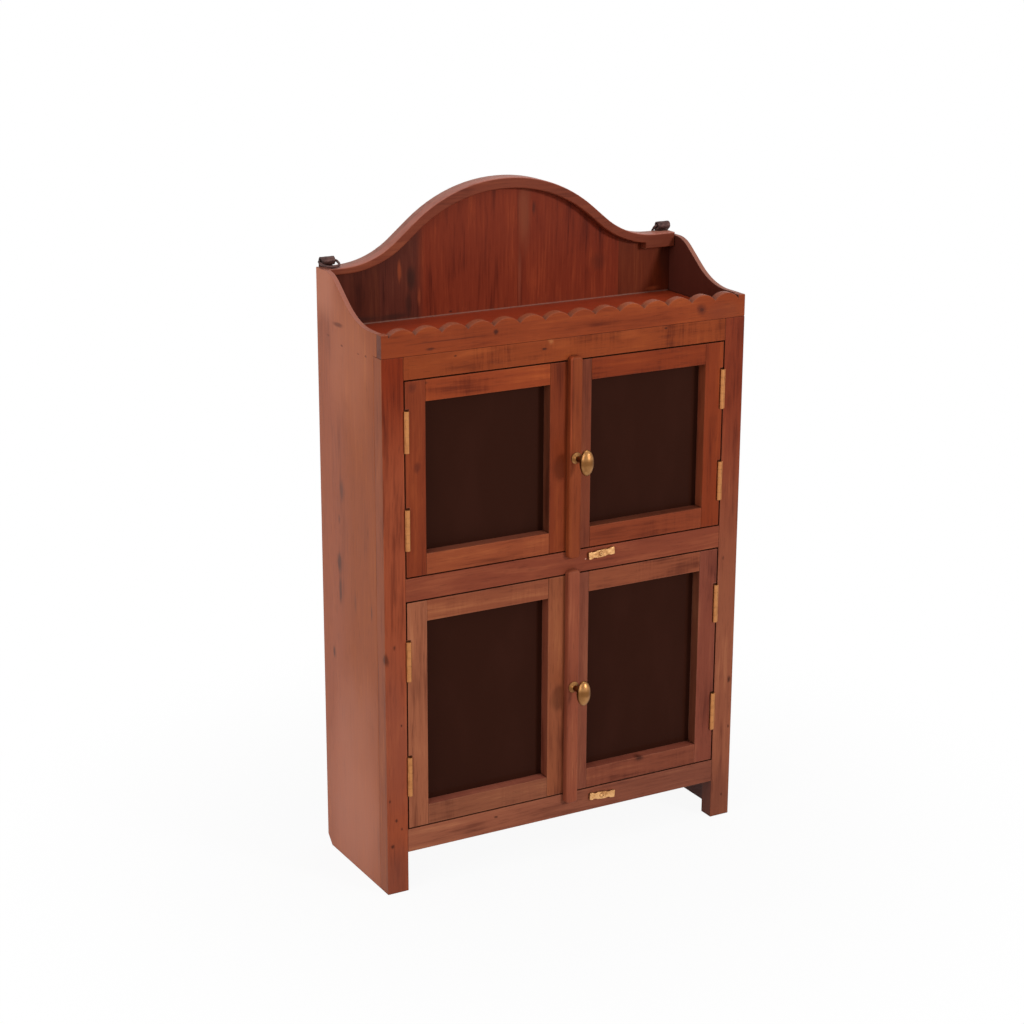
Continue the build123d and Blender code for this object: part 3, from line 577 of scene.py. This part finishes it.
# For each board its stain, its grain's axis, and how it differs from a plain board.
# In this table the top amount paints a highlight, a pale sheen, on the faces that look up.
boards = {
    # Its inner face is darker: partly its stain, partly painted shade inside the gallery.
    "left_side_panel": ((163, 88, 55), "z", dict(
        fade=("Y", 0.0, 0.05), far_shade=(171, 97, 70), tops=0.8, top_sheen_shade=(158, 100, 86),
        blotches=0.5, bands=0.4, streaks=0.45, ends={1: (84, 38, 30)}, marks=(
            # Paler towards the foot: partly the wood's tone, partly a painted reflection of the
            # floor.
            ((left_side, 0.01, 0.06), (0.0045, 0.09, 0.17), 0.55, (206, 134, 108)),
            ((left_side, 0.01, 0.49), (0.0045, 0.06, 0.08), 0.35, (206, 128, 96)),
            ((left_side, 0.07, 0.555), (0.0045, 0.05, 0.045), 0.8, (200, 126, 98)),
            ((left_side, 0.031, 0.5232), (0.0045, 0.016, 0.0028), 0.75, (112, 58, 44)),
            ((left_side, 0.0245, 0.5056), (0.0045, 0.003, 0.0015), 0.8, (104, 52, 40)),
            ((left_side, -0.0245, 0.5058), (0.0045, 0.003, 0.0015), 0.8, (104, 52, 40)),
            ((left_side, -0.0091, 0.5049), (0.0045, 0.003, 0.0012), 0.6, (104, 52, 40)),
            ((left_side, 0.0534, 0.5096), (0.0045, 0.004, 0.0015), 0.6, (104, 52, 40)),
            ((left_side, 0.0307, 0.3700), (0.0045, 0.006, 0.014), 0.6, grey_streak),
            ((left_side, 0.0370, 0.3400), (0.0045, 0.003, 0.006), 0.5, grey_streak),
            ((left_side, 0.0375, 0.2980), (0.0045, 0.0065, 0.014), 0.8, grey_streak),
            ((left_side, 0.0370, 0.2720), (0.0045, 0.0045, 0.020), 0.8, grey_streak),
            ((left_side, 0.0535, 0.2060), (0.0045, 0.0035, 0.009), 0.8, grey_streak),
            ((left_side, -0.0288, 0.2700), (0.0045, 0.0018, 0.012), 0.7, grey_streak),
            ((left_side, 0.0050, 0.2700), (0.0045, 0.0030, 0.016), 0.4, grey_streak)))),
    # Its inner face is darker: partly its stain, partly painted shade inside the gallery.
    "right_side_panel": ((150, 92, 68), "z", dict(
        tops=0.8, top_sheen_shade=(152, 98, 84), blotches=0.5, bands=0.4, streaks=0.3,
        ends={-1: (88, 42, 32)})),
    # Paler and more orange lower down: partly the wood's tone, partly a painted sheen from the floor.
    "left_stile": ((124, 42, 14), "z", dict(
        streaks=0.6, bands=0.8,
        fade=("Z", 0.50, 0.38), far_shade=(148, 70, 42), ends={-1: (158, 87, 58)}, marks=(
            ((-0.180, front, 0.150), (0.030, 0.006, 0.110), 0.45, (130, 70, 54)),
            ((-0.180, front, 0.010), (0.020, 0.006, 0.070), 0.5, (112, 62, 50)),
            ((-0.1890, front, 0.2320), (0.0040, 0.006, 0.008), 0.7, dark_knot),
            ((-0.1805, front, 0.2428), (0.0018, 0.01, 0.003), 0.7, dark_knot),
            ((-0.1744, front, 0.1661), (0.0012, 0.01, 0.002), 0.8, dark_knot),
            ((-0.187, front, 0.0937), (0.0015, 0.01, 0.002), 0.8, dark_knot),
            ((-0.1806, front, 0.0732), (0.002, 0.01, 0.0025), 0.8, dark_knot),
            ((-0.175, front, 0.0639), (0.0015, 0.01, 0.002), 0.7, dark_knot),
            ((-0.185, front, 0.048), (0.0025, 0.01, 0.003), 0.8, dark_knot)))),
    # Paler lower down: partly its tone, partly a painted sheen from the floor. Its inner face is
    # darker: partly its stain, partly painted shade.
    "right_stile": ((124, 49, 26), "z", dict(
        fade=("Z", 0.46, 0.20), far_shade=(140, 78, 54),
        ends={-1: (98, 46, 30), 1: (146, 88, 66)}, marks=(
            ((0.180, front, 0.010), (0.020, 0.03, 0.060), 0.5, (104, 54, 40)),
            ((0.1858, front, 0.1442), (0.0028, 0.01, 0.0050), 0.8, dark_knot),
            ((0.1868, front, 0.0944), (0.0015, 0.01, 0.0025), 0.8, dark_knot),
            ((0.1811, front, 0.0222), (0.0015, 0.01, 0.002), 0.8, dark_knot),
            ((0.1742, front, 0.272), (0.0015, 0.01, 0.003), 0.6, dark_knot)))),
    # Its ends show grey end grain; the lobes' left flanks get a painted sheen from the same side
    # shade.
    "scalloped_rail": ((135, 57, 26), "x", dict(
        tops=0.3, top_sheen_shade=(160, 100, 76), curl=0.25,
        ends={-1: (120, 70, 56), 1: (120, 70, 56)}, marks=(
            ((-0.0771, front, 0.5219), (0.0035, 0.02, 0.0030), 0.85, dark_knot),
            ((0.1414, front, 0.5196), (0.0075, 0.02, 0.0075), 0.7, soft_smudge),
            ((0.1414, front, 0.5196), (0.0030, 0.02, 0.0025), 0.6, dark_knot),
            ((-0.1425, front, 0.5135), (0.006, 0.02, 0.0018), 0.7, dark_knot),
            ((-0.125, front, 0.5195), (0.05, 0.02, 0.0009), 0.55, dark_knot),
            ((0.168, front, 0.5150), (0.030, 0.02, 0.012), 0.35, (112, 54, 36))))),
    "top_rail": ((137, 60, 26), "x", dict(
        curl=0.9, blotches=1.2, bands=0.45, streaks=0.25, marks=(
            ((-0.100, front, 0.5060), (0.035, 0.02, 0.0055), 0.5, (172, 84, 40)),
            ((-0.010, front, 0.5030), (0.020, 0.02, 0.0060), 0.35, (172, 84, 40)),
            ((0.060, front, 0.5050), (0.022, 0.02, 0.0060), 0.35, (172, 84, 40)),
            ((-0.1175, front, 0.5045), (0.0022, 0.02, 0.0013), 0.9, dark_knot),
            ((-0.0273, front, 0.5009), (0.0035, 0.02, 0.0016), 0.9, dark_knot),
            ((-0.0205, front, 0.5072), (0.004, 0.02, 0.004), 0.6, (178, 112, 66)),
            ((0.102, front, 0.5066), (0.0025, 0.02, 0.0014), 0.85, dark_knot)))),
    "middle_rail": ((128, 61, 40), "x", dict(marks=(
        ((-0.1491, front, 0.3164), (0.0014, 0.02, 0.0012), 0.8, dark_knot),
        ((-0.1436, front, 0.3098), (0.0008, 0.02, 0.0008), 1.0, pale_speck),
        ((0.0189, front, 0.2957), (0.0009, 0.02, 0.0009), 1.0, pale_speck)))),
    "bottom_rail": ((147, 84, 60), "x", dict(
        fade=("X", -0.10, 0.15), far_shade=(124, 68, 50), marks=(
            ((-0.0761, front, 0.0541), (0.003, 0.02, 0.0015), 0.8, dark_knot),))),
    "gallery_shelf": ((153, 57, 31), "x", dict(satin=0.35, blotches=0.5, bands=0.5)),
    "divider_shelf": ((110, 48, 32), "x", {}),
    "bottom_board": ((112, 52, 36), "x", {}),
    "crest_strip": ((121, 57, 38), "x", dict(tops=0.95, top_sheen_shade=(176, 110, 94), wear=0.5, marks=(
        ((0.165, 0.060, 0.563), (0.040, 0.03, 0.012), 0.5, (96, 38, 22)),
        ((-0.085, 0.060, 0.590), (0.022, 0.03, 0.030), 0.3, (112, 46, 30))))),
    "back_plank_1": ((87, 36, 22), "z", dict(marks=(
        ((-0.150, back_front, 0.5165), (0.040, 0.006, 0.0045), 0.6, dark_corner),
        ((-0.163, back_front, 0.550), (0.004, 0.006, 0.030), 0.4, (112, 52, 36))))),
    "back_plank_2": ((92, 40, 28), "z", dict(
        fade=("X", -0.094, -0.083), far_shade=(124, 46, 24), marks=(
            ((-0.0981, back_front, 0.5504), (0.0065, 0.006, 0.017), 0.8, dark_corner),
            ((-0.1010, back_front, 0.5270), (0.0050, 0.006, 0.014), 0.6, dark_corner),
            ((-0.1100, back_front, 0.5575), (0.0028, 0.006, 0.013), 0.8, knot_flame),
            ((-0.0900, back_front, 0.5320), (0.0024, 0.006, 0.011), 0.6, knot_flame),
            ((-0.118, back_front, 0.5160), (0.024, 0.006, 0.0045), 0.6, dark_corner),
            ((-0.0572, back_front, 0.5149), (0.0025, 0.006, 0.0015), 0.9, dark_knot)))),
    "back_plank_3": ((121, 44, 23), "z", dict(marks=(
        ((0.022, back_front, 0.600), (0.010, 0.006, 0.045), 0.6, (134, 70, 46)),
        ((0.0165, back_front, 0.540), (0.003, 0.006, 0.05), 0.5, (138, 70, 48)),
        ((0.032, back_front, 0.605), (0.0028, 0.006, 0.010), 0.6, dark_corner),
        ((0.104, back_front, 0.548), (0.012, 0.006, 0.012), 0.35, dark_knot)))),
    "back_plank_4": ((106, 43, 23), "z", dict(marks=(
        ((0.166, back_front, 0.5158), (0.011, 0.006, 0.0030), 0.8, (158, 76, 44)),
        # Painted shade in the gallery's right corner, by the right wing.
        ((0.180, back_front, 0.545), (0.012, 0.006, 0.035), 0.6, (54, 28, 22))))),
}
for name in boards:
    if name.startswith("back_plank"):
        boards[name][2].update(streaks=0.8, bands=0.9, blotches=0.9, pores=0.3, wear=0.0, tops=0.9,
                               dust=0.45)
doors = {
    "upper_left": {"hinge_stile": (125, 52, 26), "top_rail": (140, 59, 27),
                   "bottom_rail": (141, 68, 39), "meeting_stile": (121, 50, 23)},
    "upper_right": {"hinge_stile": (128, 51, 22), "top_rail": (127, 50, 21),
                    "bottom_rail": (129, 57, 31), "meeting_stile": (122, 59, 38)},
    "lower_left": {"hinge_stile": (154, 90, 62), "top_rail": (136, 72, 47),
                   "bottom_rail": (136, 78, 54), "meeting_stile": (140, 76, 48)},
    "lower_right": {"hinge_stile": (125, 63, 46), "top_rail": (136, 71, 46),
                    "bottom_rail": (126, 65, 45), "meeting_stile": (129, 69, 50)},
}
door_marks = {
    "upper_left_top_rail": (((-0.1476, front, 0.4926), (0.006, 0.01, 0.002), 0.7, dark_knot),
                            ((-0.1486, front, 0.4838), (0.005, 0.01, 0.002), 0.6, dark_knot),
                            ((-0.095, front, 0.4921), (0.007, 0.01, 0.002), 0.6, dark_knot)),
    "upper_left_hinge_stile": (((-0.161, front, 0.481), (0.006, 0.01, 0.006), 0.6, soft_smudge),
                               ((-0.156, front, 0.408), (0.005, 0.01, 0.007), 0.6, soft_smudge)),
    "lower_right_bottom_rail": (((0.0827, front, 0.0815), (0.0065, 0.01, 0.0042), 0.85, dark_knot),
                                ((0.1197, front, 0.0845), (0.004, 0.01, 0.002), 0.7, dark_knot)),
}
strip_shades = {"upper": (130, 59, 30), "lower": (138, 71, 49)}
# A highlight painted on the upper cover strip's rounded left corner, high up.
strip_highlights = {"upper": (164, 76, 44)}
# Shades inside the windows: the sills on the bottom rails, and the faces beside the glass.
bead_shade = (108, 58, 40)
reveal_shades = {
    "upper_left": {"bottom_rail": (134, 72, 52), "meeting_stile": (104, 54, 36)},
    "upper_right": {"bottom_rail": (112, 58, 40), "hinge_stile": (132, 64, 40)},
    "lower_left": {"bottom_rail": (152, 82, 64), "meeting_stile": (132, 68, 48)},
    "lower_right": {"bottom_rail": (144, 76, 58), "hinge_stile": (108, 58, 40)},
}

seed = 0
for node, (shade, grain, look) in boards.items():
    seed += 1
    material = wood(node + "_wood", shade, grain, seed, **look)
    if node in eased_widths:
        dress(eased(node, eased_widths[node]), material)
    elif node.startswith("back_plank") and node != "back_plank_1":
        dress(closed_up(node, plank_gap), material)
    dress(nodes[node], material)
for door, members in doors.items():
    for member, shade in members.items():
        seed += 1
        node = f"{door}_{member}"
        grain = "x" if member.endswith("rail") else "z"
        curl = 0.5 if member.endswith("rail") else 0.0
        reveal = reveal_shades[door].get(member, bead_shade)
        wear = 0.8 if door.startswith("lower") else 0.4
        dress(nodes[node], wood(node + "_wood", shade, grain, seed, curl=curl, wear=wear,
                                reveal=reveal, marks=door_marks.get(node, ())))
    seed += 1
    dress(nodes[door + "_glazing_beads"], wood(door + "_bead_wood", bead_shade, "z", seed))
for level, shade in strip_shades.items():
    seed += 1
    dress(nodes[level + "_cover_strip"], wood(level + "_strip_wood", shade, "z", seed, wear=0.2,
                                             rim_highlight=strip_highlights.get(level)))


# ---- glass ----
def smoked_glass():
    material, g = new_material("smoked_glass")
    place = g.add("TexCoord").outputs["Object"]
    smears = g.noise(place, (30.0, 30.0, 12.0), detail=3.0)
    colour = g.mix(g.ramp(smears, 0.4, 0.7), tone(50, 24, 16), tone(53, 26, 18))
    shader = g.add("BsdfPrincipled", {
        "Base Color": colour, "Roughness": g.ramp(smears, 0.3, 0.7, 0.12, 0.18),
        "Specular IOR Level": 0.015})
    finish_material(g, shader)
    return material


pane_glass = smoked_glass()
for door in doors:
    dress(nodes[door + "_glass"], pane_glass)


# ---- metal ----
def metal(name, bright, dull, polish, tarnish, dents, metallic=1.0, reflection_band_height=None):
    """Old metal: polish is its least roughness; a band height, when given, is where a dark reflection
    is painted round a knob's middle.
    """
    material, g = new_material(name)
    place = g.add("TexCoord").outputs["Object"]
    look = g.group(old_metal, {"Place": place, "Bright": bright, "Dull": dull,
                               "Tarnish": tarnish, "Dents": dents})
    colour = look["Color"]
    # Painted reflection: a dark band round the knob's middle, where the dark horizon would mirror.
    if reflection_band_height:
        height = g.math("SUBTRACT", g.add("SeparateXYZ", {0: place}).outputs["Z"], reflection_band_height)
        band = g.ramp(g.math("ABSOLUTE", height), reflection_band_half_height, reflection_band_core)
        colour = g.mix(g.math("MULTIPLY", band, 0.85), colour, tone(*painted_dark_reflection))
    recess_darkening = g.group(recess_shade_and_dirt, {"Reach": metal_dirt_reach, "Amount": 0.8})["Mask"]
    colour = g.mix(recess_darkening, colour, tone(*metal_dirt))
    bump = g.add("Bump", {"Height": look["Height"], "Strength": 0.5, "Distance": metal_bump})
    shader = g.add("BsdfPrincipled", {
        "Base Color": colour, "Metallic": metallic,
        "Roughness": g.math("ADD", look["Roughness"], polish),
        "Normal": bump.outputs["Normal"]})
    finish_material(g, shader)
    return material


hinge_brass = metal("hinge_brass", tone(190, 128, 78), tone(156, 98, 58),
                    polish=0.34, tarnish=0.5, dents=0.1)
button_brass = metal("button_brass", tone(220, 170, 116), tone(168, 118, 72),
                     polish=0.40, tarnish=0.9, dents=0.3)
hanger_iron = metal("hanger_iron", tone(88, 56, 50), tone(44, 26, 24),
                    polish=0.45, tarnish=0.9, dents=0.4, metallic=0.5)

for node in list(nodes):
    if node.endswith("hinge_leaves") or node in ("hinge_pins", "frame_hinge_screws"):
        dress(nodes[node], hinge_brass)
    elif node.endswith("_knob"):
        low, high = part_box(node)
        reflection_band_height = (low.z + high.z) / 2 + reflection_band_rise
        dress(nodes[node], metal(node + "_brass", tone(168, 120, 74), tone(134, 90, 52),
                                 polish=0.24, tarnish=0.8, dents=0.0, reflection_band_height=reflection_band_height))
    elif node.endswith("turn_button"):
        dress(nodes[node], button_brass)
        dress(hammered(node, edge=0.0006, cell=0.0003, depth=0.00035, wave=0.0022), button_brass)
    elif node == "turn_button_screws":
        dress(nodes[node], button_brass)
        dress(slotted(node, facing=-1, turns=(28.0, -35.0), width=0.0006, depth=0.0006), button_brass)
    elif node == "hanger_screws":
        dress(nodes[node], hanger_iron)
        dress(slotted(node, facing=1, turns=(20.0, -50.0, 75.0, 10.0), width=0.0006,
                      depth=0.0006), hanger_iron)
    elif node == "hanger_straps" or node.endswith("hanger_ring"):
        dress(nodes[node], hanger_iron)
        dress(hammered(node, edge=0.0003, cell=0.00035, depth=0.00025, wave=0.0030), hanger_iron)


# ---- floor, background and light ----
floor_size = 12.0
shadow_inner = 0.2  # distances from the object's middle between which its shadow fades out
shadow_outer = 0.6
least_plain = 0.93  # share of plain white on the floor, close to the object
white_light = (1.0, 1.0, 1.0, 1.0)
paper_colour = (0.93, 0.93, 0.93, 1.0)
ambient_strength = 0.34
plain_white = 1.0  # strength at which a background is white


def seen_directly(g):
    """1 for rays from the camera and for what metal and glass mirror, 0 for scattered light."""
    ray = g.add("LightPath").outputs
    seen = g.math("MAXIMUM", ray["Is Camera Ray"], ray["Is Glossy Ray"])
    return g.math("MAXIMUM", seen, ray["Is Transmission Ray"])


def blend_shaders(g, share, first, second, output):
    blend = g.add("MixShader", {0: share})
    g.tree.links.new(first.outputs[0], blend.inputs[1])
    g.tree.links.new(second.outputs[0], blend.inputs[2])
    g.tree.links.new(blend.outputs[0], g.add(output).inputs["Surface"])


def paper_floor():
    """White paper: its soft shadow shows near the object and fades out to plain white."""
    material, g = new_material("floor_paper")
    place = g.add("TexCoord").outputs["Object"]
    distance = g.add("VectorMath", {0: place}, operation="LENGTH").outputs["Value"]
    plainness = g.ramp(distance, shadow_inner, shadow_outer, least_plain, 1.0)
    paper = g.add("BsdfDiffuse", {"Color": paper_colour})
    white = g.add("Emission", {"Color": white_light, "Strength": plain_white})
    share = g.math("MULTIPLY", seen_directly(g), plainness)
    blend_shaders(g, share, paper, white, "OutputMaterial")
    return material


def build_world():
    """Even ambient light; seen directly or in a reflection it is plain white."""
    world = bpy.data.worlds.new("studio")
    world.use_nodes = True
    world.node_tree.nodes.clear()
    g = Graph(world.node_tree)
    ambient = g.add("Background", {"Color": white_light, "Strength": ambient_strength})
    white = g.add("Background", {"Color": white_light, "Strength": plain_white})
    blend_shaders(g, seen_directly(g), ambient, white, "OutputWorld")
    bpy.context.scene.world = world


def softbox(name, place, aim, size, watts):
    data = bpy.data.lights.new(name, "AREA")
    data.shape = "SQUARE"
    data.size = size
    data.energy = watts
    lamp = bpy.data.objects.new(name, data)
    lamp.location = place
    direction = Vector(aim) - Vector(place)
    lamp.rotation_euler = direction.to_track_quat("-Z", "Y").to_euler()
    bpy.context.scene.collection.objects.link(lamp)


bpy.ops.mesh.primitive_plane_add(size=floor_size, location=(0.0, 0.0, 0.0))
floor = bpy.context.object
floor.name = "floor"
dress(floor, paper_floor())

build_world()
middle = (0.0, 0.0, 0.3)  # what the lamps point at
softbox("key_light", (1.2, -2.45, 1.2), middle, size=0.45, watts=33.0)
softbox("side_light", (-2.0, -0.9, 1.2), middle, size=1.4, watts=15.0)
softbox("top_light", (0.1, 0.1, 2.3), middle, size=1.2, watts=10.0)

bpy.context.scene.view_settings.view_transform = "Standard"
